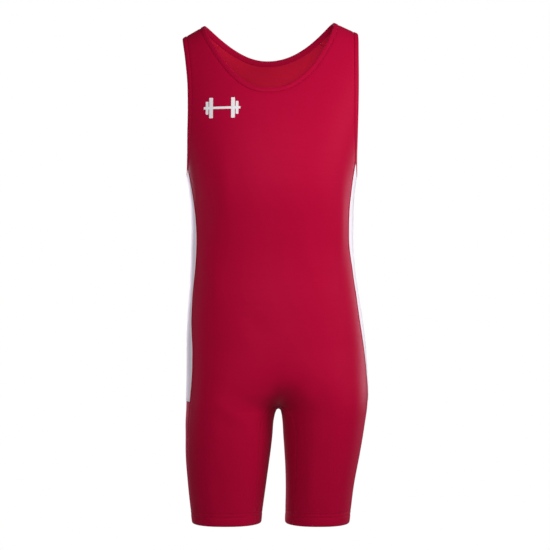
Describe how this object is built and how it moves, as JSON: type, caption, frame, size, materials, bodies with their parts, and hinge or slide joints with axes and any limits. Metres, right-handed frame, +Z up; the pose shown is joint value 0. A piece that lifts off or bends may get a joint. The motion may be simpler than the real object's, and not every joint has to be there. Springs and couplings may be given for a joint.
{
  "type": "weightlifting singlet",
  "caption": "Sleeveless stretch-knit lifting suit with a scooped neck, thigh-length legs, bound armholes and plain pale side bands, open and hollow as worn.",
  "frame": {"origin": "on the wearer's shoulder line, midway between the two straps at about the height of the strap ridges", "axes": "+Z up towards the shoulders, -Y the way the wearer faces, +X to the wearer's left, which is the right of the picture"},
  "size_m": [0.3493, 0.2368, 0.9369],
  "materials": {
    "red_knit": "fine smooth stretch knit with a soft satin sheen",
    "red_binding": "folded elastic knit binding",
    "white_band": "smooth matt white stretch tape"
  },
  "bodies": {
    "root": {"front_panel": "red_knit", "back_panel": "red_knit", "side_panel_left": "red_knit", "side_panel_right": "red_knit", "inner_leg_gusset": "red_knit", "side_band_left": "white_band", "side_band_right": "white_band", "neck_binding": "red_binding", "armhole_binding_left": "red_binding", "armhole_binding_right": "red_binding"}
  },
  "joints": []
}
